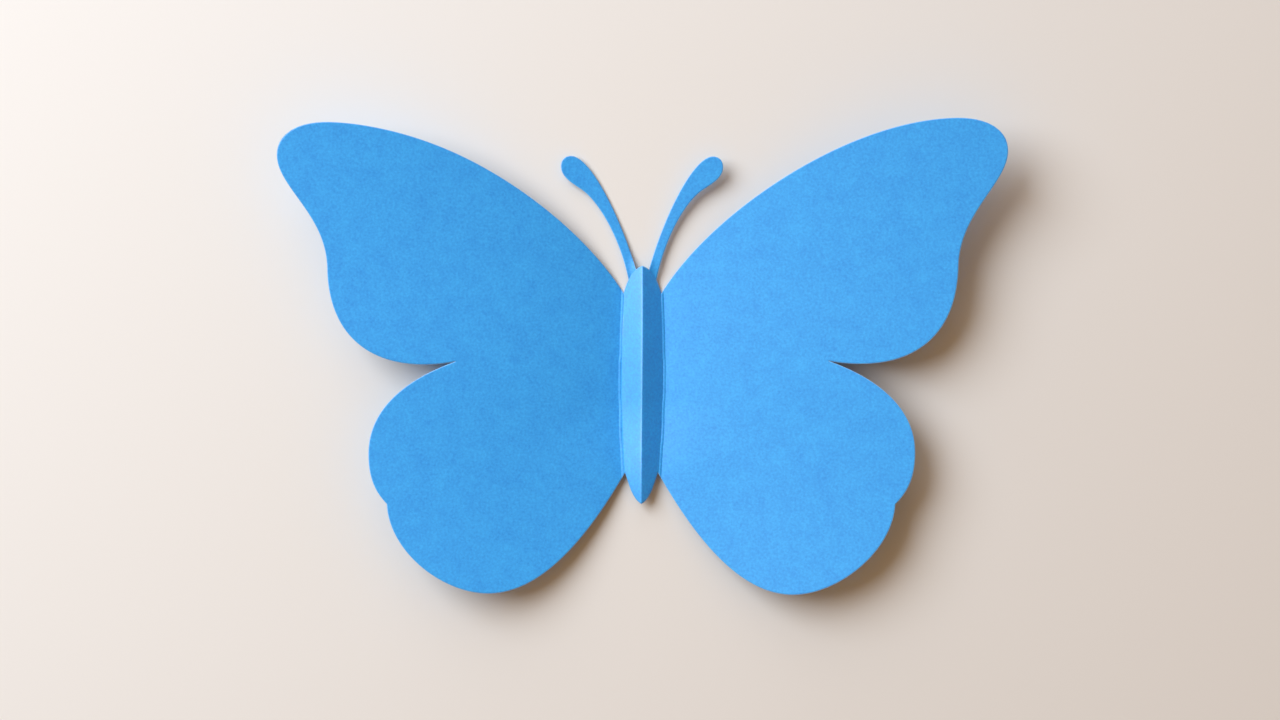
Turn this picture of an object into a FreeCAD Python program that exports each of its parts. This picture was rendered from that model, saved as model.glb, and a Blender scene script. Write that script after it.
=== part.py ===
"""Cut and folded card butterfly.

One sheet of card carries the wings, the leaf-shaped body and the antennae. The body is a ridge
folded up between two scored creases. From each crease a wing springs up at an angle and eases
towards its tip, and the two antennae bend away from the edge of the head.

Millimetres. +X runs to the right wing, +Y to the head, +Z up. The butterfly lies on the undersides
of its creases, and the origin is below the middle of its outline.
"""
import FreeCAD
import Part
import math
import os

# Card and folds
card = 0.3                    # thickness of the sheet
fold_radius = 0.1             # inside radius of each fold
bead_width = 0.6              # raised bead that scoring leaves inside each crease
bead_height = 0.1

# Body, between the creases
body_half_width = 5.95        # centre line to crease at the widest place
body_widest_y = -3.5
crease_taper = 1.4            # how far each crease has drawn in, level with the tail tip
rest_half_length = 14.0       # each crease lies on the table this far both ways from body_widest_y
crease_rise = 0.6             # how far it has risen, level with the tail tip
ridge_slope = 37.0            # slope of the body's two sides at the widest place, degrees
ridge_slope_end = 31.0        # the same at the tail tip, degrees
head_peak_y = 25.1
head_corner_y = 17.6          # where the wings' leading edges meet the body
tail_corner_y = -32.3         # where their trailing edges meet it
tail_tip_y = -40.9
head_corner_inset = 0.2       # how far the cut stands inside the crease at those corners
tail_corner_inset = 0.55

# Wings
half_span = 100.0             # centre line to the tip of the upper wing
upper_reach = 64.8            # from the middle to the top of the upper wing
lower_reach = 65.2            # from the middle to the foot of the lower wing
wing_slope = 14.5             # slope at the crease, degrees
wing_slope_end = 5.5          # slope at the far edge of the sheet, degrees
wing_turn = 31.0              # from the crease to where those two slopes would meet
wing_gain = 0.3               # how much higher the far edge is, level with the tail tip

# Antennae
root_outer_x, root_outer_y = 3.9, 21.3
root_inner_x, root_inner_y = 1.8, 24.1
club_top_x, club_top_y = 19.6, 55.4
club_side_x, club_side_y = 22.4, 52.4
neck_x, neck_y = 17.2, 46.4           # where the stem swells into the club
antenna_slope = -4.0          # slope along both stems at the head, degrees
left_slope_end = 3.0          # the same at the left club, which lies low
right_slope_end = 14.0        # and at the right one, which bends up
antenna_twist_length = 8.0    # a stem turns from the head's tilt to its own lean within this
left_lean = 10.0              # lean of the stem after that, outer edge up, degrees; level at the club
right_lean = 4.0
root_overlap = 0.15           # depth by which the stem is let into the edge of the head

station_spacing = 10.0        # between the cross-sections that form the sheet
margin = 3.0                  # by which raw sheet stands past the cut outline

V = FreeCAD.Vector
MIDDLE = V(0, 0, 0)
RIGHT = V(1, 0, 0)
UP = V(0, 0, 1)


# ---- Where the folds run -------------------------------------------------------------------

def along(y):
    """Distance from the widest place, 1 at the tail tip."""
    return (y - body_widest_y) / (body_widest_y - tail_tip_y)


def crease_x(y):
    """Centre line to crease: a shallow bow, widest at body_widest_y."""
    return body_half_width - crease_taper * (1 - math.cos(math.pi / 2 * along(y)))


def crease_z(y):
    """Height of the crease's underside: level where it rests, then a gentle curve upwards."""
    past = max(0.0, abs(y - body_widest_y) - rest_half_length)
    return crease_rise * (past / (body_widest_y - tail_tip_y - rest_half_length)) ** 2


def side_slope(y):
    """Slope of the body's sides, in radians: it eases from the widest place to the tail tip."""
    ease = 2 * (ridge_slope - ridge_slope_end)
    return math.radians(ridge_slope - ease * math.sin(math.pi / 4 * along(y)) ** 2)


def body_z(x, y):
    """Height of the body's underside, at x from the centre line."""
    return crease_z(y) + (crease_x(y) - x) * math.tan(side_slope(y))


# ---- Cross-section of the folded sheet -----------------------------------------------------

def curve(*poles):
    bezier = Part.BezierCurve()
    bezier.setPoles(list(poles))
    return bezier.toShape()


def toward(start, end, distance):
    return start + (end - start).normalize() * distance


def rounded(before, corner, after, radius):
    """Poles of a bend of about this radius between two straight runs that meet in a corner."""
    turn = (corner - before).getAngle(after - corner)
    reach = radius * math.tan(turn / 2)
    return toward(corner, before, reach), corner, toward(corner, after, reach)


def bead(before, corner, after):
    """Poles of the raised bead across a crease, from one flank of the crease to the other."""
    start = toward(corner, before, bead_width / 2)
    end = toward(corner, after, bead_width / 2)
    return start, (start + end) / 2 + UP * 2 * bead_height, end


def half_section(y, lift):
    """Ridge, crease, pull and edge points of the right half of one face of the sheet.

    lift is 0 for the underside and the card's thickness for the top. The wing is the curve that
    leaves the crease towards the pull point and arrives at the edge point from there.
    """
    side = side_slope(y)
    wing = math.radians(wing_slope)
    shift = lift * (1 / math.cos(side) - 1 / math.cos(wing)) / (math.tan(side) + math.tan(wing))
    crease = V(crease_x(y) + shift, y, crease_z(y) + lift / math.cos(wing) + shift * math.tan(wing))
    ridge = V(0, y, body_z(0, y) + lift / math.cos(side))
    pull = crease + V(wing_turn, 0, wing_turn * math.tan(wing))
    run = half_span + margin - pull.x
    climb = run * math.tan(math.radians(wing_slope_end)) + wing_gain * along(y) ** 2
    return ridge, crease, pull, pull + V(run, 0, climb)


def flipped(point):
    return V(-point.x, point.y, point.z)


def section(y):
    """Closed outline of the folded sheet at y: top from left to right, underside back again."""
    ridge, crease, pull, edge = half_section(y, card)
    under_ridge, under_crease, under_pull, under_edge = half_section(y, 0)
    top = sheet_face(ridge, crease, pull, edge, bead(ridge, crease, pull), fold_radius + card)
    bend = rounded(under_ridge, under_crease, under_pull, fold_radius + card)
    under = sheet_face(under_ridge, under_crease, under_pull, under_edge, bend, fold_radius)
    ends = [curve(edge, under_edge), curve(flipped(edge), flipped(under_edge))]
    return Part.Wire(Part.__sortEdges__(top + under + ends))


def sheet_face(ridge, crease, pull, edge, bend, ridge_radius):
    """Edges of one face of the section: wing, crease and body side, the ridge, and back out."""
    ridge_bend = rounded(flipped(crease), ridge, crease, ridge_radius)
    right = [curve(ridge_bend[2], bend[0]), curve(*bend), curve(bend[2], pull, edge)]
    left = [edge_copy.mirror(MIDDLE, RIGHT) for edge_copy in right]
    return left + [curve(*ridge_bend)] + right


def folded_sheet():
    """The whole sheet, folded but not yet cut."""
    low, high = -lower_reach - margin, upper_reach + margin
    count = math.ceil((high - low) / station_spacing)
    stations = [low + (high - low) * i / count for i in range(count + 1)]
    return Part.makeLoft([section(y) for y in stations], True)


# ---- Outline of the cut --------------------------------------------------------------------

def pen(points):
    """Smooth edges through anchors, each given as (anchor, handle before, handle after)."""
    edges = []
    for (start, _, leaving), (end, arriving, _) in zip(points, points[1:]):
        edges.append(curve(start, start + leaving, end + arriving, end))
    return edges


def upper(across, along_wing):
    """Place or handle on the upper wing, in parts of the half span and of the wing's reach."""
    return V(across * half_span, along_wing * upper_reach)


def lower(across, along_wing):
    """The same on the lower wing, which reaches the other way."""
    return V(across * half_span, -along_wing * lower_reach)


def wing_edges():
    """Right wing, from its corner at the head round to its corner at the tail.

    The places are the top and the tip of the upper wing, the waist where its outer edge turns from
    hollow to full, the notch between the wings, the side of the lower wing, the nick and the foot.
    """
    head_corner = V(crease_x(head_corner_y) - head_corner_inset, head_corner_y)
    tail_corner = V(crease_x(tail_corner_y) - tail_corner_inset, tail_corner_y)
    return pen([
        (head_corner, None, upper(0.149, 0.370)),
        (upper(0.855, 1.0), upper(-0.274, 0), upper(0.088, 0)),
        (upper(1.0, 0.853), upper(0, 0.091), upper(0, -0.134)),
        (upper(0.866, 0.370), upper(0.002, 0.238), upper(-0.006, -0.343)),
        (lower(0.531, 0.025), upper(0.168, -0.040), lower(0.088, 0.066)),
        (lower(0.750, 0.406), lower(0, -0.218), lower(0, 0.084)),
        (lower(0.698, 0.620), lower(0.040, -0.061), lower(-0.006, 0.202)),
        (lower(0.418, 1.0), lower(0.124, 0), lower(-0.163, 0)),
        (tail_corner, lower(0.078, 0.213), None),
    ])


def head_edge():
    """Right edge of the head, through the two sides of the antenna's root."""
    corner = V(crease_x(head_corner_y) - head_corner_inset, head_corner_y)
    roots = [V(root_outer_x, root_outer_y), V(root_inner_x, root_inner_y)]
    spline = Part.BSplineCurve()
    spline.interpolate([corner] + roots + [V(0, head_peak_y)])
    return spline.toShape()


def tail_edge():
    corner = V(crease_x(tail_corner_y) - tail_corner_inset, tail_corner_y)
    return curve(corner, corner + V(-0.9, -2.6), V(2.6, tail_tip_y + 1.3), V(0, tail_tip_y))


def cut_out(raw, edges):
    """The part of the raw sheet that lies inside a closed outline, cut straight down."""
    face = Part.Face(Part.Wire(Part.__sortEdges__(edges)))
    face.translate(UP * (raw.BoundBox.ZMin - margin))
    return raw.common(face.extrude(UP * (raw.BoundBox.ZLength + 2 * margin)))


def wings_and_body():
    right = [head_edge()] + wing_edges() + [tail_edge()]
    left = [edge.mirror(MIDDLE, RIGHT) for edge in right]
    return cut_out(folded_sheet(), right + left)


# ---- Antennae ------------------------------------------------------------------------------

def antenna_outline():
    """Outline of the right antenna, let into the head by root_overlap at its root."""
    outer, inner = V(root_outer_x, root_outer_y), V(root_inner_x, root_inner_y)
    inward = (inner - outer).cross(UP).normalize() * -root_overlap
    stem = pen([
        (inner, None, V(3.3, 12.1)),
        (V(club_top_x, club_top_y), V(-6.0, 0), V(1.8, 0)),
        (V(club_side_x, club_side_y), V(0, 1.7), V(0, -3.1)),
        (V(neck_x, neck_y), V(1.5, 1.1), V(-5.0, -3.0)),
        (outer, V(2.4, 11.7), None),
    ])
    corners = [outer, outer + inward, inner + inward, inner]
    return stem + [curve(*pair) for pair in zip(corners, corners[1:])]


def antenna_strip(slope_end, stem_lean):
    """Strip of card that a right antenna is cut from, given its slope and its lean in degrees.

    It is tilted like the head where it starts, leans the other way after the twist, and comes
    level at the club.
    """
    outer, inner = V(root_outer_x, root_outer_y), V(root_inner_x, root_inner_y)
    root = (outer + inner) / 2
    heading = (V(club_top_x, club_top_y) - root).normalize()
    across = UP.cross(heading)
    reach = (V(club_top_x, club_top_y) - root).Length + margin
    start_slope = math.tan(math.radians(antenna_slope))
    bend = (math.tan(math.radians(slope_end)) - start_slope) / reach
    root_z = (body_z(outer.x, outer.y) + body_z(inner.x, inner.y)) / 2
    step = inner - outer
    climb = body_z(inner.x, inner.y) - body_z(outer.x, outer.y) - start_slope * step.dot(heading)
    tilt = climb / step.dot(across)
    lean = -math.tan(math.radians(stem_lean))
    half_width = club_side_x / 2

    def strip_section(distance):
        twist = max(0.0, 1 - distance / antenna_twist_length) ** 2
        slant = lean * (1 - distance / reach) + (tilt - lean) * twist
        z = root_z + start_slope * distance + bend * distance ** 2 / 2
        centre = root + heading * distance + UP * z
        side = (across + UP * slant) * half_width
        corners = [centre - side, centre + side, centre + side + UP * card, centre - side + UP * card]
        return Part.makePolygon(corners + corners[:1])

    count = math.ceil(reach / (antenna_twist_length / 2))
    stations = [-margin] + [reach * i / count for i in range(count + 1)]
    return Part.makeLoft([strip_section(distance) for distance in stations], True)


def antennae():
    right = cut_out(antenna_strip(right_slope_end, right_lean), antenna_outline())
    left = cut_out(antenna_strip(left_slope_end, left_lean), antenna_outline())
    return [right, left.mirror(MIDDLE, RIGHT)]


# ---- The butterfly -------------------------------------------------------------------------

def butterfly():
    solid = wings_and_body().fuse(antennae()).removeSplitter().Solids[0]
    box = solid.optimalBoundingBox(False, False)
    solid.translate(V(-box.Center.x, -box.Center.y, -box.ZMin))
    return solid


os.makedirs("parts", exist_ok=True)
butterfly_card = butterfly()
print("valid", butterfly_card.isValid(), "volume", round(butterfly_card.Volume, 1), "mm3")
butterfly_card.exportStep("parts/butterfly_card.step")
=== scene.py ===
# %% [markdown]
# # A butterfly cut and folded from one sheet of card
#
# The real object is a single piece of blue card, 0.3 mm thick. Its middle is folded up to a low
# ridge between two scored creases, and from each crease a wing springs up and then eases towards
# level. A flat sheet could be cut out and bent with modifiers, but a bend along two bowed creases
# is hard to steer that way. In this lesson the sheet becomes one mesh instead. Its outline is drawn
# with a few Bezier strokes, as a pen would draw it, and its form is one formula that gives the
# height of the folded card at any place.
#
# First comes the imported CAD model. It fixes where everything is, so every place is taken from it.

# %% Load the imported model
import bmesh
import bpy
import numpy as np
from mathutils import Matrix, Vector


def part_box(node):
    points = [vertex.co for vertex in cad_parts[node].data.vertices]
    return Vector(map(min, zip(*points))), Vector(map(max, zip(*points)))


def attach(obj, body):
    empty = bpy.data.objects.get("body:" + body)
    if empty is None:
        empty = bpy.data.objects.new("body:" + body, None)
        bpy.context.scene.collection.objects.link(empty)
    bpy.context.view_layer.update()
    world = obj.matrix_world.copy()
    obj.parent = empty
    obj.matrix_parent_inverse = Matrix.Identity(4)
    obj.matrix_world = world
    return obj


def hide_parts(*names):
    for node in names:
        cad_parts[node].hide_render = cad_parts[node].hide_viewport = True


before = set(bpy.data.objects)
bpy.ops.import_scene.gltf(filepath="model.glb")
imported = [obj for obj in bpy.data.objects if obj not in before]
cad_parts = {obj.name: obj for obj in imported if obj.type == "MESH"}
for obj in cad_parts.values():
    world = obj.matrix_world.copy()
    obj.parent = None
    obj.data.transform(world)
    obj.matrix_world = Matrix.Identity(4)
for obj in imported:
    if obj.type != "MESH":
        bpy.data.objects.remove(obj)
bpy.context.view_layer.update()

MM = 0.001

# %% [markdown]
# ## Sizes of the sheet
#
# All shapes are worked out in millimetres, in a drawing whose zero is where the hinge line of the
# wings crosses the body. They move to the CAD frame at the very end. Width and length could be
# typed in, but read from the box of the CAD node they can't drift away from it. Only the reach of
# the upper wing is given, because the box doesn't say where the hinge line is.

# %% Sizes from the CAD node
low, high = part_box("butterfly_card")
half_span = high.x / MM
upper_reach = 64.8
lower_reach = (high.y - low.y) / MM - upper_reach
shift_y = high.y / MM - upper_reach
print(f"half span {half_span:.1f} mm, reach {upper_reach:.1f} and {lower_reach:.1f} mm")

# %% [markdown]
# ## Where the folds run
#
# A bone folder drawn along the card leaves each crease as a shallow bow. A curve object could hold
# that line, but the sheet needs its place at every y, so it is a function instead, and a cosine
# gives the bow in plan. In height the crease lies flat on the table along its middle and curves up
# gently beyond, which a parabola with a level stretch gives. The sides of the body are steepest at
# its widest place.

# %% Fold lines
body_half_width, body_widest_y, tail_tip_y, crease_taper = 5.95, -3.5, -40.9, 1.4
rest_half_length, crease_rise = 14.0, 0.6
ridge_slope, ridge_slope_end = np.radians(37.0), np.radians(31.0)


def along(y):
    """Place along the body: 0 where it is widest and -1 at the tail tip."""
    return (y - body_widest_y) / (body_widest_y - tail_tip_y)


def crease_x(y):
    """Half width of the body: the full half width less a cosine bow."""
    return body_half_width - crease_taper * (1 - np.cos(np.pi / 2 * along(y)))


def crease_z(y):
    """Height of the crease: zero while it rests, then the square of the distance past that."""
    past = np.maximum(0, abs(y - body_widest_y) - rest_half_length)
    return crease_rise * (past / (body_widest_y - tail_tip_y - rest_half_length)) ** 2


def side_slope(y):
    """Slope of the body's sides: steepest at the widest place, easing with a squared sine."""
    return ridge_slope - 2 * (ridge_slope - ridge_slope_end) * np.sin(np.pi / 4 * along(y)) ** 2


print("creases are", round(2 * crease_x(0.0), 2), "mm apart at the hinge line")

# %% [markdown]
# ## The section across the sheet
#
# Across the body the section is a ridge, a crease and a wing. The body's side is straight, because
# the folds hold it stiff. The wing is a parabola that leaves the crease steeply and flattens
# towards the edge, as springy card does. A Solidify modifier could thicken a single surface, but
# the two faces of a folded sheet meet the fold at places of their own. So each face has its own
# formula, and the thickness is right at the folds as well.

# %% Body and wing in section
card = 0.3
wing_slope, wing_slope_end = np.radians(14.5), np.radians(5.5)
wing_turn, wing_gain = 31.0, 0.3
margin = 3.0                            # the forms run on this far past the cut
ridge_round, tail_dip, tail_corner_y = 0.2, 0.6, -32.3


def face_points(y, lift):
    """Place of the crease on one face: lift is 0 for the underside, the thickness for the top.

    Two faces a thickness apart meet the fold a little further out, by the shift that keeps both
    slopes at their distance.
    """
    side, wing = side_slope(y), wing_slope
    shift = lift * (1 / np.cos(side) - 1 / np.cos(wing)) / (np.tan(side) + np.tan(wing))
    x = crease_x(y) + shift
    z = crease_z(y) + lift / np.cos(wing) + shift * np.tan(wing)
    return x, z


def wing_height(x, y, lift):
    """A parabola that leaves the crease at one slope and reaches the edge at another.

    Its Bezier poles are the crease, the place where the two slopes meet, and the edge. The mix t
    at x solves a quadratic equation.
    """
    cx, cz = face_points(y, lift)
    pull_x, edge_x = cx + wing_turn, half_span + margin
    pull = wing_turn * np.tan(wing_slope)
    edge = pull + (edge_x - pull_x) * np.tan(wing_slope_end) + wing_gain * along(y) ** 2
    a, b, c = cx - 2 * pull_x + edge_x, 2 * (pull_x - cx), cx - np.maximum(x, cx)
    t = 2 * -c / (b + np.sqrt(np.maximum(b * b - 4 * a * c, 0)))
    return cz + 2 * t * (1 - t) * pull + t * t * edge


def body_height(x, y, lift):
    """A straight slope up from the crease to the ridge, rounded at the ridge like a hyperbola.

    Past the corner where the wing ends, the tail bends down with the square of the distance.
    """
    cx, cz = face_points(y, lift)
    past = np.clip((tail_corner_y - y) / (tail_corner_y - tail_tip_y), 0, 1)
    return cz + (cx - np.hypot(x, ridge_round)) * np.tan(side_slope(y)) - tail_dip * past**2


print("ridge stands", round(float(body_height(0.0, 0.0, card)), 2), "mm above the table")

# %% [markdown]
# ## The bead of the scoring tool, and a sprung tail
#
# Scoring presses the card into a narrow bead along each crease, and the tool slipped a little
# sideways in four places. The bead catches the light and throws a fine shadow, so it belongs to the
# form rather than to a bump in the material. Towards the tail the sheet has sprung up a little from
# the table, which darkens the two corners there. That is a soft rise added to both faces. One
# function then gives the height of either face of the card at any place.

# %% Height of the folded card
bead_width, bead_height = 0.75, 0.08
score_slips, slip_length = ((-0.7, 0.16), (-12.6, -0.12), (-17.5, 0.10), (-24.0, -0.12)), 0.6
tail_spring, spring_start, spring_width = 1.4, -12.0, 18.0


def score_wander(y):
    """Sideways wander of the scoring tool: a sum of steps of a tanh, one for each slip."""
    return sum(slip * 0.5 * (1 - np.tanh((y - place) / slip_length)) for place, slip in score_slips)


def spring(x, y):
    """Rise of the tail end: a smooth step along the body, 3s^2 - 2s^3, times a bell across it."""
    s = np.clip((spring_start - y) / (spring_start - tail_corner_y), 0, 1)
    return tail_spring * s**2 * (3 - 2 * s) * np.exp(-(x / spring_width) ** 2)


def fold_height(x, y, top):
    """Height of the top or the underside of the card at (x, y), with the bead on the top.

    The bead is a parabola, 4s(1-s), on a chord from the side of the body to the wing.
    """
    lift = card if top else 0.0
    x = abs(x)
    cx, _ = face_points(y, lift)
    z = np.where(x < cx, body_height(x, y, lift), wing_height(x, y, lift))
    if top:
        inner = cx + score_wander(y) - bead_width / 2
        outer = inner + bead_width
        share = np.clip((x - inner) / bead_width, 0, 1)
        chord = (1 - share) * body_height(inner, y, lift) + share * wing_height(outer, y, lift)
        bead = chord + bead_height * 4 * share * (1 - share)
        z = np.where((x > inner) & (x < outer), bead, z)
    return z + spring(x, y)


print("wing tip stands", round(float(fold_height(100.0, 55.0, True)), 2), "mm above the table")

# %% [markdown]
# ## The outline
#
# Scissors follow a drawn line, and a pen line is a chain of Bezier strokes: each place has a handle
# that the line arrives along and one that it leaves along. Blender's own curves work the same way,
# but as plain arrays the strokes can be split and mixed in the next step. The places are given as
# parts of the half span and of the wing's reach, so the drawing keeps its character at any size.

# %% Pen strokes
def bezier(start, leave, arrive, end, count=160):
    """Cubic curve: the four points mixed with (1-t)^3, 3t(1-t)^2, 3t^2(1-t) and t^3."""
    t = np.linspace(0, 1, count)[:, None]
    s = 1 - t
    return s**3 * start + 3 * t * s**2 * leave + 3 * t * t * s * arrive + t**3 * end


def pen(points):
    """One array of points along the strokes between (place, handle before, handle after)."""
    strokes = [bezier(a, a + out, b + back, b)
               for (a, _, out), (b, back, _) in zip(points, points[1:])]
    return np.concatenate([strokes[0]] + [s[1:] for s in strokes[1:]])


def upper(across, along_wing):
    """A place or a handle of the upper wing, as parts of the half span and of its reach."""
    return np.array([across * half_span, along_wing * upper_reach])


def lower(across, along_wing):
    """The same for the lower wing, whose reach runs towards the tail."""
    return np.array([across * half_span, -along_wing * lower_reach])


print("the right half lies between", upper(0, 1), "and", lower(1, 1).round(1), "mm")

# %% Draw the right wing
head_corner_y, head_inset, tail_inset = 17.6, 0.2, 0.55
head_corner = np.array([crease_x(head_corner_y) - head_inset, head_corner_y])
tail_corner = np.array([crease_x(tail_corner_y) - tail_inset, tail_corner_y])
notch, nick = lower(0.514, 0.021), lower(0.698, 0.620)
upper_line = pen([
    (head_corner, None, upper(0.149, 0.370)),
    (upper(0.855, 1.0), upper(-0.274, 0), upper(0.088, 0)),
    (upper(1.0, 0.853), upper(0, 0.091), upper(0, -0.134)),
    (upper(0.866, 0.370), upper(0.002, 0.238), upper(-0.006, -0.341)),
    (notch, upper(0.186, -0.052), None),
])
lower_line = pen([
    (notch, None, lower(0.105, 0.058)),
    (lower(0.750, 0.406), lower(0, -0.214), lower(0, 0.084)),
    (nick, lower(0.040, -0.061), lower(-0.006, 0.202)),
    (lower(0.418, 1.0), lower(0.124, 0), lower(-0.163, 0)),
    (tail_corner, lower(0.078, 0.213), None),
])
print("outline reaches", upper_line.max(0).round(2), "and", lower_line.min(0).round(2))

# %% [markdown]
# ## A wing as a patch between four lines
#
# One big face could fill the outline, but it would stay flat, and a curved wing needs points all
# over. A grid that follows the outline needs four sides. One side lies along the crease, the
# opposite one along the outer edge, and the other two along the leading edge and the hinge line.
# Across the grid each row is a mix of the two outer lines, so the cells flow from the body to the
# tip. The columns crowd together next to the crease, because the bead there is less than a
# millimetre wide.

# %% A patch between four lines
def seam_x(y):
    """Where the wing grid meets the body grid: just inside the crease, through both corners."""
    t = (y - tail_corner_y) / (head_corner_y - tail_corner_y)
    return crease_x(y) - (tail_inset + (head_inset - tail_inset) * t)


def split(line, *weights):
    """Cut a line at the places that lie furthest out in each direction of weights."""
    cuts = [0] + [int(np.argmax(line @ np.array(w))) for w in weights] + [len(line) - 1]
    return [line[a:b + 1] for a, b in zip(cuts, cuts[1:])]


def patch(hinge_side, far_side, outer_side, columns, rows):
    """Grid between the crease on the left and outer_side on the right.

    x runs from the crease by an even step that widens with the square of the distance, to reach
    the outer line. y is a straight mix of the hinge side and the far side.
    """
    outer_y = outer_side[0, 1] + (outer_side[-1, 1] - outer_side[0, 1]) * rows
    order = np.argsort(outer_side[:, 1])
    outer_x = np.interp(outer_y, outer_side[order, 1], outer_side[order, 0])
    seam_y = hinge_side[0, 1] + (far_side[0, 1] - hinge_side[0, 1]) * rows
    left = seam_x(seam_y)
    width = outer_x[0] - left[0]
    u = ((columns - columns[0]) / width)[None, :]
    x = left[:, None] + u * width + u**2 * (outer_x - left - width)[:, None]
    near = np.interp(x[0], hinge_side[:, 0], hinge_side[:, 1])[None, :]
    far = np.interp(x[-1], far_side[:, 0], far_side[:, 1])[None, :]
    v = rows[:, None]
    return np.stack([x, (1 - v) * near + v * far], -1)


print("the seam runs", round(crease_x(0.0) - seam_x(0.0), 2), "mm inside the crease")

# %% Columns and rows of the wings
leading, outer_up, under = split(upper_line, (1, 1), (1, -1))
over, outer_down, trailing = split(lower_line, (1, 1), (1, -1))
hinge_start = np.array([[seam_x(notch[1]), notch[1]]])
hinge_width = notch[0] - hinge_start[0, 0]

crowded_width, crowded_columns = 1.2, 14
wide_columns, widening, cut_columns = 57, 1.6, 25
spread = np.linspace(0, 1, wide_columns + 1)[1:] ** widening
hinge_x = hinge_start[0, 0] + np.concatenate([
    np.linspace(0, crowded_width, crowded_columns),
    crowded_width + (hinge_width - crowded_width) * spread])

rows_up, rows_to_nick, rows_past_nick = 52, 28, 20
nick_row = (outer_down[0, 1] - nick[1]) / (outer_down[0, 1] - outer_down[-1, 1])
upper_rows = np.linspace(0, 1, rows_up)
lower_rows = np.concatenate([
    np.linspace(0, nick_row, rows_to_nick), np.linspace(nick_row, 1, rows_past_nick)[1:]])
print(len(hinge_x), "columns along the hinge line, then", cut_columns, "along the cut")


# %% Wing patches
def wing_patch(past_notch, far_side, outer_side, rows):
    """Patch of one wing: its columns run along the hinge line to the notch, then the cut."""
    past_notch = past_notch[np.argsort(past_notch[:, 0])]
    far_side = far_side[np.argsort(far_side[:, 0])]
    past_columns = np.linspace(notch[0], past_notch[-1, 0], cut_columns + 1)[1:]
    columns = np.concatenate([hinge_x, past_columns])
    return patch(np.concatenate([hinge_start, past_notch]), far_side, outer_side, columns, rows)


upper_wing = wing_patch(under, leading, outer_up[::-1], upper_rows)
lower_wing = wing_patch(over, trailing, outer_down, lower_rows)
print("wing grids", upper_wing.shape, lower_wing.shape)

# %% [markdown]
# ## The body
#
# The body is the raised fold between the creases. A folded strip could be extruded along it, but
# then its edge wouldn't meet the wings. So it is a grid of level rows that run from the ridge to
# its edge. That edge is first the tail's cut, then the seam with the same points as the wings have
# there, and then the head's cut. Columns crowd at the ridge, which is rounded within a fraction of
# a millimetre, and again beside the bead.

# %% Body patch
head_peak_y = 25.1
tail_count, head_counts = 25, (9, 9, 6)
root_outer, root_inner = np.array([3.9, 21.3]), np.array([1.8, 24.1])
head_points = np.array([head_corner, root_outer, root_inner, [0, head_peak_y]])
steps = np.cumsum(np.r_[0, np.hypot(*np.diff(head_points, axis=0).T)])


def head_edge(s):
    """The cubic curve through the corner, both sides of the antenna's root and the peak."""
    return np.stack([np.polyval(np.polyfit(steps, head_points[:, i], 3), s) for i in (0, 1)], -1)


tail_tip = np.array([0.0, tail_tip_y])
tail_line = bezier(tail_corner, tail_corner + (-0.9, -2.6), tail_tip + (2.6, 1.3), tail_tip)
tail_rows = tail_line[np.linspace(len(tail_line) - 1, 0, tail_count).astype(int)]
crease_y = np.concatenate([lower_wing[::-1, 0, 1], upper_wing[1:, 0, 1]])
crease_rows = np.stack([seam_x(crease_y), crease_y], -1)
head_rows = head_edge(np.concatenate([
    np.linspace(a, b, count)[1:] for a, b, count in zip(steps, steps[1:], head_counts)]))
body_edge = np.concatenate([tail_rows[:-1], crease_rows, head_rows])
body_edge[0, 0] = body_edge[-1, 0] = 0
body_columns = np.concatenate([
    [0, 0.012, 0.025, 0.045, 0.07], np.linspace(0.1, 0.9, 9), [0.93, 0.96, 0.98, 1]])
body = np.stack([body_edge[:, None, 0] * body_columns[None, :],
                 np.repeat(body_edge[:, 1:2], len(body_columns), 1)], -1)
print("body grid", body.shape)

# %% [markdown]
# ## The antennae
#
# An antenna is a slim stem that swells into a club, cut from the same sheet. A curve with a bevel
# would be quick but round, and it would only touch the head. Here it is a strip between two drawn
# lines, whose first row is the edge of the head, where it is still part of the fold. Within a few
# millimetres it turns from the tilt of the fold to a lean of its own. Card never springs twice in
# the same way, so the left and the right one have angles of their own.

# %% Antenna patch
club_top, club_side, neck = np.array([19.6, 55.4]), np.array([22.4, 52.4]), np.array([17.2, 46.4])
inner_line = pen([
    (root_inner, None, np.array([3.3, 12.1])),
    (club_top, np.array([-6.0, 0]), np.array([1.8, 0])),
    (club_side, np.array([0, 1.7]), None),
])
outer_line = pen([
    (root_outer, None, np.array([2.4, 11.7])),
    (neck, np.array([-5.0, -3.0]), np.array([1.5, 1.1])),
    (club_side, np.array([0, -3.1]), None),
])
root = (root_outer + root_inner) / 2
heading = (club_top - root) / np.hypot(*(club_top - root))
inner_line, cap = split(inner_line, heading)
outer_line = np.concatenate([outer_line, cap[::-1][1:]])


def strip(left, right, rows, columns):
    """Grid between two lines, each read at equal distances along the antenna's heading."""
    sides = []
    for line in (left, right):
        d = line @ heading
        at = d[0] + (d[-1] - d[0]) * rows
        sides.append(np.stack([np.interp(at, d, line[:, i]) for i in (0, 1)], -1)[:, None])
    return sides[0] + (sides[1] - sides[0]) * columns[None, :, None]


# The rows crowd a little at the club. The strip starts straight across the root, so the bulge of
# the head's edge is added to it and fades within the first rows.
strip_rows, club_crowding, bulge_fade = 70, 1.25, 40
root_row = head_edge(np.linspace(steps[1], steps[2], head_counts[1]))
across_root = (root_row[:, 1] - root_outer[1]) / (root_inner[1] - root_outer[1])
antenna_rows = 1 - (1 - np.linspace(0, 1, strip_rows)) ** club_crowding
antenna = strip(outer_line, inner_line, antenna_rows, across_root)
bulge = root_row - antenna[0]
antenna = antenna + bulge * np.exp(-antenna_rows * bulge_fade)[:, None, None]
antenna[0] = root_row
print("antenna grid", antenna.shape)

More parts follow.
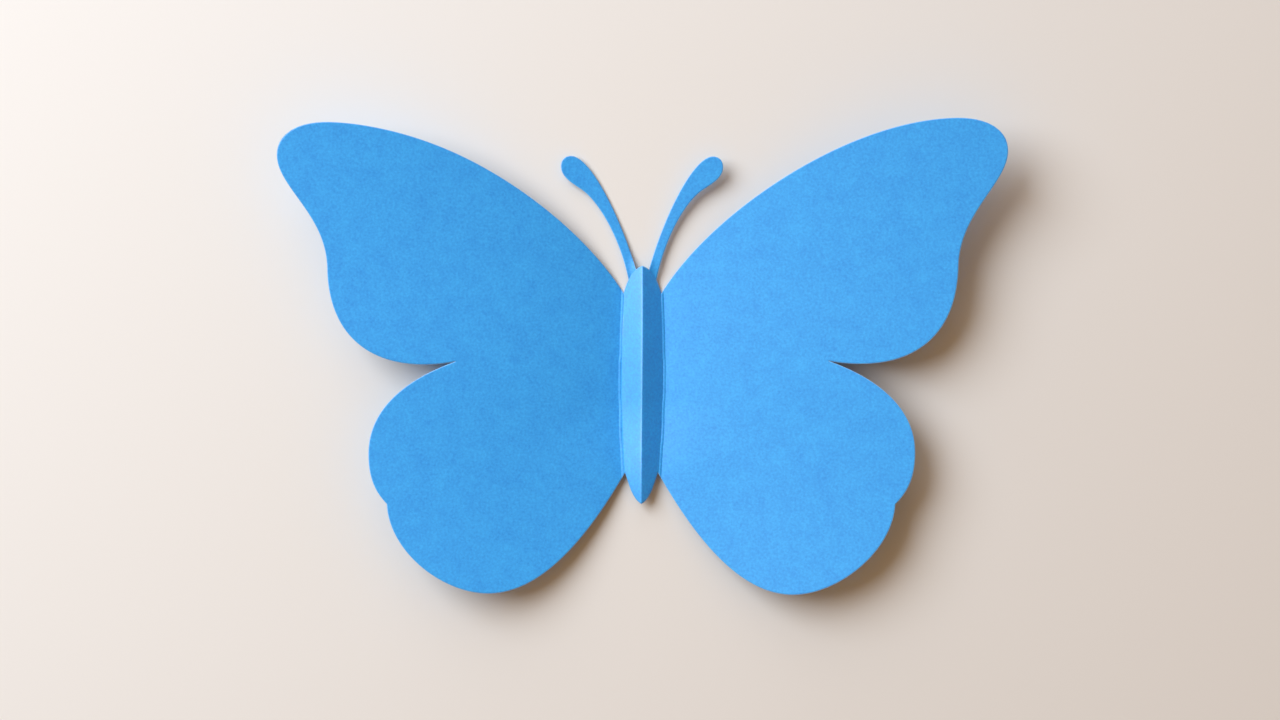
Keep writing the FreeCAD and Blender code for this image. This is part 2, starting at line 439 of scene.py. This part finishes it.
# %% Height of an antenna
antenna_slope = {1: np.radians(-1.0), -1: np.radians(-4.0)}
slope_end = {1: np.radians(11.0), -1: np.radians(4.0)}
stem_lean = {1: 0.0, -1: np.radians(10.0)}
club_lean = {1: 0.0, -1: np.radians(10.0)}
twist_length = 4.0


def antenna_height(x, y, side, top):
    """Height along the heading is a parabola. Side is 1 for the right antenna and -1 for the left.

    Across the strip it leans, and past the edge of the head the step from the head's tilt to that
    lean fades with the square of the distance.
    """
    outer_z = fold_height(root_outer[0], root_outer[1], False)
    inner_z = fold_height(root_inner[0], root_inner[1], False)
    across = np.array([-heading[1], heading[0]])
    step, reach = root_inner - root_outer, np.hypot(*(club_top - root)) + margin
    start, end = np.tan(antenna_slope[side]), np.tan(slope_end[side])
    tilt = (inner_z - outer_z - start * (step @ heading)) / (step @ across)
    d = (x - root[0]) * heading[0] + (y - root[1]) * heading[1]
    a = (x - root[0]) * across[0] + (y - root[1]) * across[1]
    past = ((x - root_outer[0]) * step[1] - (y - root_outer[1]) * step[0]) / np.hypot(*step)
    twist = np.clip(1 - past / twist_length, 0, 1) ** 2
    lean = -np.tan(stem_lean[side] + (club_lean[side] - stem_lean[side]) * d / reach)
    slant = lean + (tilt - lean) * twist
    z = (outer_z + inner_z) / 2 + start * d + (end - start) / reach * d**2 / 2 + slant * a
    return z + (card * np.sqrt(1 + slant**2) if top else 0)


for side, name in ((1, "right"), (-1, "left")):
    club_z = float(antenna_height(club_top[0], club_top[1], side, True))
    print(f"the top of the {name} club stands {club_z:.2f} mm above the table")

# %% [markdown]
# ## From patches to one closed sheet
#
# The real sheet has no seams, so the patches and their mirrored twins have to grow together. The
# editor's Merge by Distance would do it. Here numpy finds the equal points, which keeps the numbers
# of the cells at hand: cell edges that belong to one cell only are the cut. Each point also
# remembers how far it is from the cut, and the finish uses that later.

# %% Weld the patches
def quads(rows, columns, start):
    """Corner numbers of the cells of one grid, counter-clockwise."""
    n = start + np.arange(rows * columns).reshape(rows, columns)
    return np.stack([n[:-1, :-1], n[:-1, 1:], n[1:, 1:], n[1:, :-1]], -1).reshape(-1, 4)


def height_of(patch_name, grid, side, top):
    """The fold's height, and on an antenna its own height from the second row on."""
    z = fold_height(grid[..., 0], grid[..., 1], top)
    if patch_name == "antenna":
        z[1:] = antenna_height(grid[1:, :, 0], grid[1:, :, 1], side, top)
    return z


def signed_area(points, cells):
    """Area of each cell in plan: half the sum of the cross products of neighbouring corners."""
    p = points[cells]
    return 0.5 * sum(p[:, i, 0] * p[:, (i + 1) % 4, 1] - p[:, (i + 1) % 4, 0] * p[:, i, 1]
                     for i in range(4))


patches = {"upper": upper_wing, "lower": lower_wing, "body": body, "antenna": antenna}
plan, tops, unders, cells, in_body = [], [], [], [], []
for patch_name, grid in patches.items():
    for side in (1, -1):
        flat = (grid * (side, 1)).reshape(-1, 2)
        new = quads(*grid.shape[:2], sum(len(p) for p in plan))
        plan.append(flat)
        tops.append(height_of(patch_name, grid, side, True).ravel())
        unders.append(height_of(patch_name, grid, side, False).ravel())
        turned = signed_area(np.concatenate(plan), new).sum() < 0
        cells.append(new[:, ::-1] if turned else new)
        in_body.append(np.full(len(new), patch_name == "body"))
plan, tops, unders, cells, in_body = map(np.concatenate, (plan, tops, unders, cells, in_body))

weld_decimals, smallest_area = 4, 1e-7
_, first, same = np.unique(
    np.round(plan, weld_decimals), axis=0, return_index=True, return_inverse=True)
plan, tops, unders, cells = plan[first], tops[first], unders[first], same.ravel()[cells]
real = abs(signed_area(plan, cells)) > smallest_area
cells, in_body = cells[real], in_body[real]
print("welded", len(plan), "points,", len(cells), "cells")

# %% Find the cut, and how far each point is from it
edges = np.concatenate([cells[:, [i, (i + 1) % 4]] for i in range(4)])
edges = edges[edges[:, 0] != edges[:, 1]]
keys = np.sort(edges, 1) @ np.array([len(plan), 1])
_, where, counts = np.unique(keys, return_index=True, return_counts=True)
rim = edges[where[counts == 1]]
print("rim edges", len(rim), "all inner edges shared by two:", bool((counts <= 2).all()))

# The nearest place on a rim edge is its middle plus a run along it, held between its two ends.
# The points are taken in groups, so that the tables of distances stay small.
middle = (plan[rim[:, 0]] + plan[rim[:, 1]]) / 2
half = (plan[rim[:, 1]] - plan[rim[:, 0]]) / 2
to_cut = np.empty(len(plan))
group_count = 40
for group in np.array_split(np.arange(len(plan)), group_count):
    gap = plan[group][:, None] - middle[None]
    run = np.clip((gap * half).sum(-1) / (half**2).sum(-1), -1, 1)[..., None]
    to_cut[group] = np.sqrt(((gap - run * half) ** 2).sum(-1)).min(1)
print("no point is more than", round(float(to_cut.max()), 1), "mm from the cut")

# %% [markdown]
# ## What scissors do to an outline
#
# A cut made by hand is never quite the same on both sides. Each wing could be drawn by itself, but
# then every later change would have to be made twice. Six soft pushes keep one drawing for both and
# shift the card in plan by a millimetre or so. Each has a place, a reach and a shift, and fades
# with the distance.

# %% Soft pushes
pushes = [
    (-40, -35, 34, -1.25, -0.30),
    (-80, 55, 22, 0.50, -1.15),
    (50, -65, 34, -1.00, -0.50),
    (70, 35, 34, -0.10, 0.50),
    (-20, 60, 30, -0.45, 0.55),
    (100, 55, 14, -0.40, 0.40),
]


def hand_cut(places):
    """Each push moves a point by its shift times exp(-(distance / reach)^2)."""
    moved = places.copy()
    for x, y, reach, shift_right, shift_up in pushes:
        weight = np.exp(-((places - (x, y)) ** 2).sum(1) / reach**2)
        moved += weight[:, None] * (shift_right, shift_up)
    return moved


cut_plan = hand_cut(plan)
print("largest push:", round(float(np.hypot(*(cut_plan - plan).T).max()), 2), "mm")

# %% [markdown]
# ## Both faces, and the wall between them
#
# The sheet has a top, an underside and a cut edge between them. Every point gets a twin below it at
# the height of the underside, and a wall closes the cut all round, so the mesh is a closed shell.
# Shading is smooth over the bends and sharp along the cut and the folds, by the angle between
# faces.

# %% Make the mesh
sharp_angle = np.radians(25)


def make_piece(name, points, faces):
    """A mesh object at the origin, its place in its points, in metres."""
    mesh = bpy.data.meshes.new(name)
    mesh.from_pydata(points.tolist(), [], faces)
    mesh.validate()
    piece = bpy.data.objects.new(name, mesh)
    bpy.context.scene.collection.objects.link(piece)
    return piece


count = len(plan)
place = cut_plan + (0, shift_y)
points = np.concatenate([np.c_[place, tops], np.c_[place, unders]]) * MM
wall = np.stack([rim[:, 0], rim[:, 0] + count, rim[:, 1] + count, rim[:, 1]], 1)
faces = np.concatenate([cells, cells[:, ::-1] + count, wall]).tolist()
faces = [list(dict.fromkeys(f)) for f in faces]
sheet = make_piece("folded_card", points, faces)
distance = sheet.data.attributes.new("to_cut", "FLOAT", "POINT")
distance.data.foreach_set("value", np.tile(to_cut, 2).astype(np.float32))
sheet.data.shade_smooth()
sheet.data.set_sharp_from_angle(angle=sharp_angle)

check = bmesh.new()
check.from_mesh(sheet.data)
open_edges = sum(not e.is_manifold for e in check.edges)
volume = check.calc_volume(signed=True) / MM**3
print(f"folded_card: {len(check.faces)} faces, {open_edges} open edges, {volume:.1f} mm3")
check.free()

# %% [markdown]
# ## The card's finish
#
# Coloured craft card is felted from dyed fibres. They show as a fine mottling with a softer cloud
# below it, and the surface has a dull sheen rather than a gloss. The cut edge is worn a little
# round. A thin pale rim is painted along the cut, partly the card's paler core and partly a painted
# highlight where the edge catches the light. Both sides of the body are rubbed down with the bone
# folder, which polishes them a little, so they have a material of their own. A scan could be
# wrapped over the sheet, but noise in Object coordinates needs no image and doesn't repeat. Both
# materials share it as one group of nodes.

# %% Two helpers for nodes
def add_node(tree, kind, values=(), **settings):
    """A new node: first its settings, such as data_type, then the value of each named input."""
    node = tree.nodes.new(kind)
    for setting, value in settings.items():
        setattr(node, setting, value)
    for socket, value in dict(values).items():
        node.inputs[socket].default_value = value
    return node


def join(tree, *pairs):
    """Links: in each pair, the output of one node feeds the input of another."""
    for (node, output), (target, socket) in pairs:
        tree.links.new(node.outputs[output], target.inputs[socket])


print("made the helpers", add_node.__name__, "and", join.__name__)


# %% Fibres, as a group that each card material can use
def fibre_group():
    """Mottle is three quarters fibres under a millimetre and one quarter a cloud of a few
    millimetres, with its middle range stretched to the full one. Fibres is the fine part alone.
    """
    group = bpy.data.node_groups.new("card fibres", "ShaderNodeTree")
    for name in ("Mottle", "Fibres"):
        group.interface.new_socket(name, in_out="OUTPUT", socket_type="NodeSocketFloat")
    coords = add_node(group, "ShaderNodeTexCoord")
    fine = add_node(group, "ShaderNodeTexNoise", {"Scale": 1500.0, "Detail": 3.0, "Roughness": 0.6})
    cloud = add_node(group, "ShaderNodeTexNoise", {"Scale": 190.0, "Detail": 2.0, "Roughness": 0.6})
    mix = add_node(group, "ShaderNodeMix", {"Factor": 0.25})
    stretch = add_node(group, "ShaderNodeMapRange", {"From Min": 0.32, "From Max": 0.68})
    out = add_node(group, "NodeGroupOutput")
    join(group,
         ((coords, "Object"), (fine, "Vector")),
         ((coords, "Object"), (cloud, "Vector")),
         ((fine, "Fac"), (mix, "A")),
         ((cloud, "Fac"), (mix, "B")),
         ((mix, "Result"), (stretch, "Value")),
         ((stretch, "Result"), (out, "Mottle")),
         ((fine, "Fac"), (out, "Fibres")))
    return group


fibres = fibre_group()
print("the fibre group puts out", [socket.name for socket in fibres.interface.items_tree])


# %% Card material
# Colour of the rim painted along the cut: partly the card's paler core, partly a painted highlight.
pale_core_and_highlight_rim = (0.75, 0.85, 0.95, 1)


def card_material(name, darker, paler, roughness, ior):
    """Blue card: two tones of one dye mixed by the mottle. Within a hair of the cut a pale rim is
    painted in, partly the card's paler core and partly a painted highlight where the edge catches
    light.

    One bump rounds the card over the last quarter of a millimetre before the cut, and a second
    one lays the fibres over it.
    """
    material = bpy.data.materials.new(name)
    material.use_nodes = True
    tree = material.node_tree
    shader = tree.nodes["Principled BSDF"]
    felt = add_node(tree, "ShaderNodeGroup", node_tree=fibres)
    tone = add_node(tree, "ShaderNodeMix", {"A": darker, "B": paler}, data_type="RGBA")
    from_cut = add_node(tree, "ShaderNodeAttribute", attribute_name="to_cut")
    # Painted highlight and paler core along the cut: the rim colour is mixed in by up to 0.35 at
    # the cut and fades out 0.2 mm in.
    near = add_node(tree, "ShaderNodeMapRange", {"From Max": 0.2, "To Min": 0.35, "To Max": 0.0})
    rim_core_and_highlight_mix = add_node(tree, "ShaderNodeMix", {"B": pale_core_and_highlight_rim}, data_type="RGBA")
    worn = add_node(tree, "ShaderNodeMapRange", {"From Max": 0.25})
    rounded = add_node(tree, "ShaderNodeBump", {"Distance": 0.00012})
    nap = add_node(tree, "ShaderNodeBump", {"Strength": 0.2, "Distance": 0.0001})
    join(tree,
         ((felt, "Mottle"), (tone, "Factor")),
         ((from_cut, "Fac"), (near, "Value")),
         ((near, "Result"), (rim_core_and_highlight_mix, "Factor")),
         ((tone, "Result"), (rim_core_and_highlight_mix, "A")),
         ((rim_core_and_highlight_mix, "Result"), (shader, "Base Color")),
         ((from_cut, "Fac"), (worn, "Value")),
         ((worn, "Result"), (rounded, "Height")),
         ((rounded, "Normal"), (nap, "Normal")),
         ((felt, "Fibres"), (nap, "Height")),
         ((nap, "Normal"), (shader, "Normal")))
    shader.inputs["Roughness"].default_value = roughness
    shader.inputs["IOR"].default_value = ior
    shader.inputs["Specular IOR Level"].default_value = 1.0
    return material


plain_card = card_material(
    "blue card", darker=(0.004, 0.294, 0.780, 1), paler=(0.028, 0.459, 0.965, 1),
    roughness=0.59, ior=1.5)
rubbed_card = card_material(
    "rubbed blue card", darker=(0, 0.302, 0.810, 1), paler=(0, 0.476, 1.000, 1),
    roughness=0.48, ior=1.85)
print("made", plain_card.name, "and", rubbed_card.name)

# %% Dress the sheet, and say what it is
sheet.data.materials.append(plain_card)
sheet.data.materials.append(rubbed_card)
rubbed = np.concatenate([in_body, in_body, np.zeros(len(wall), bool)]).astype(np.int32)
sheet.data.polygons.foreach_set("material_index", rubbed)
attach(sheet, "root")
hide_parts("butterfly_card")
print(int(rubbed.sum()), "faces are rubbed card and", int((rubbed == 0).sum()), "are plain")

# %% [markdown]
# ## The table
#
# The card lies on a plain pale surface with hardly any gloss. A single plane is enough, since only
# its face is seen. It is a warm white, so that the shadows stay a little brown, and it reaches far
# past the card, so that a low view still shows table behind it.

# %% Table
bpy.ops.mesh.primitive_plane_add(size=2.4, location=(0, 0, 0))
table = bpy.context.object
table.name = "table"
pale = bpy.data.materials.new("pale table")
pale.use_nodes = True
surface = pale.node_tree.nodes["Principled BSDF"]
surface.inputs["Base Color"].default_value = (0.84, 0.775, 0.718, 1)
surface.inputs["Roughness"].default_value = 0.8
surface.inputs["Specular IOR Level"].default_value = 0.2
table.data.materials.append(pale)
print("the table is", round(table.dimensions.x, 2), "m wide")

# %% [markdown]
# ## Soft light
#
# Card shows its folds best in soft light from one side. A sun lamp would draw hard shadows, so the
# lights are large discs. Two stand to the upper left, and the second is lower and further round to
# the head. They model the folds and throw soft shadows to the right. A faint blue one, low on the
# right, keeps the shaded side of the body from going grey.

# %% Lights
def soft_light(name, turn, elevation, distance, size, power, tint, aim=(0, 0, 0)):
    """A disc of light. Turn runs clockwise from the left, elevation up from the table."""
    turn, elevation = np.radians(turn), np.radians(elevation)
    data = bpy.data.lights.new(name, "AREA")
    data.shape, data.size, data.energy, data.color = "DISK", size, power, tint
    light = bpy.data.objects.new(name, data)
    light.location = distance * np.array([
        -np.cos(turn) * np.cos(elevation), np.sin(turn) * np.cos(elevation), np.sin(elevation)])
    light.rotation_euler = (Vector(aim) - light.location).to_track_quat("-Z", "Y").to_euler()
    bpy.context.scene.collection.objects.link(light)
    print(f"{name}: {power} W at", [round(v, 2) for v in light.location], "m")


daylight, blue = (0.74, 0.866, 1.0), (0.0, 0.12, 1.0)
soft_light("key", turn=31, elevation=43.3, distance=1.21, size=1.0, power=17.1, tint=daylight,
           aim=(-0.3, 0.1, 0))
soft_light("second", turn=67.6, elevation=30.5, distance=1.5, size=1.5, power=8.3, tint=daylight)
soft_light("low fill", turn=180, elevation=12, distance=1.2, size=0.5, power=0.4, tint=blue)

# %% [markdown]
# ## Sky
#
# A weak warm sky fills the shadows, as a room around the table would. One colour can't serve for
# everything: mirrored in the card's sheen, a warm light would turn the blue grey, so reflections
# see a cool tone. Where a low view looks past the table, it sees a pale backdrop.

# %% Sky
warm, cool, backdrop = (1, 0.63, 0.26, 1), (0.02, 0.32, 1.0, 1), (2.3, 2.12, 1.97, 1)
world = bpy.data.worlds.new("soft sky")
world.use_nodes = True
sky = world.node_tree.nodes["Background"]
sky.inputs["Strength"].default_value = 0.325
ray = add_node(world.node_tree, "ShaderNodeLightPath")
sky_tone = add_node(world.node_tree, "ShaderNodeMix", {"A": warm, "B": cool}, data_type="RGBA")
seen_tone = add_node(world.node_tree, "ShaderNodeMix", {"B": backdrop}, data_type="RGBA")
join(world.node_tree,
     ((ray, "Is Glossy Ray"), (sky_tone, "Factor")),
     ((ray, "Is Camera Ray"), (seen_tone, "Factor")),
     ((sky_tone, "Result"), (seen_tone, "A")),
     ((seen_tone, "Result"), (sky, "Color")))
bpy.context.scene.world = world
bpy.context.scene.view_settings.view_transform = "Standard"
print("sky strength", round(sky.inputs["Strength"].default_value, 3))

# %% [markdown]
# ## Camera
#
# A butterfly lying on a table is seen from above. The camera looks straight down from 0.7 m, which
# leaves the outline as it was drawn. A shorter lens from closer by would fill the frame as well,
# but it would enlarge the wing tips, which stand nearer to it than the body does.

# %% Camera
lens = bpy.data.cameras.new("camera")
lens.lens, lens.sensor_width = 70.0, 36.0
camera = bpy.data.objects.new("camera", lens)
camera.location = (-0.00078, -0.0008, 0.6958)
bpy.context.scene.collection.objects.link(camera)
bpy.context.scene.camera = camera
seen_width = camera.location.z * lens.sensor_width / lens.lens / MM
print(f"the camera sees {seen_width:.0f} mm of the table across")
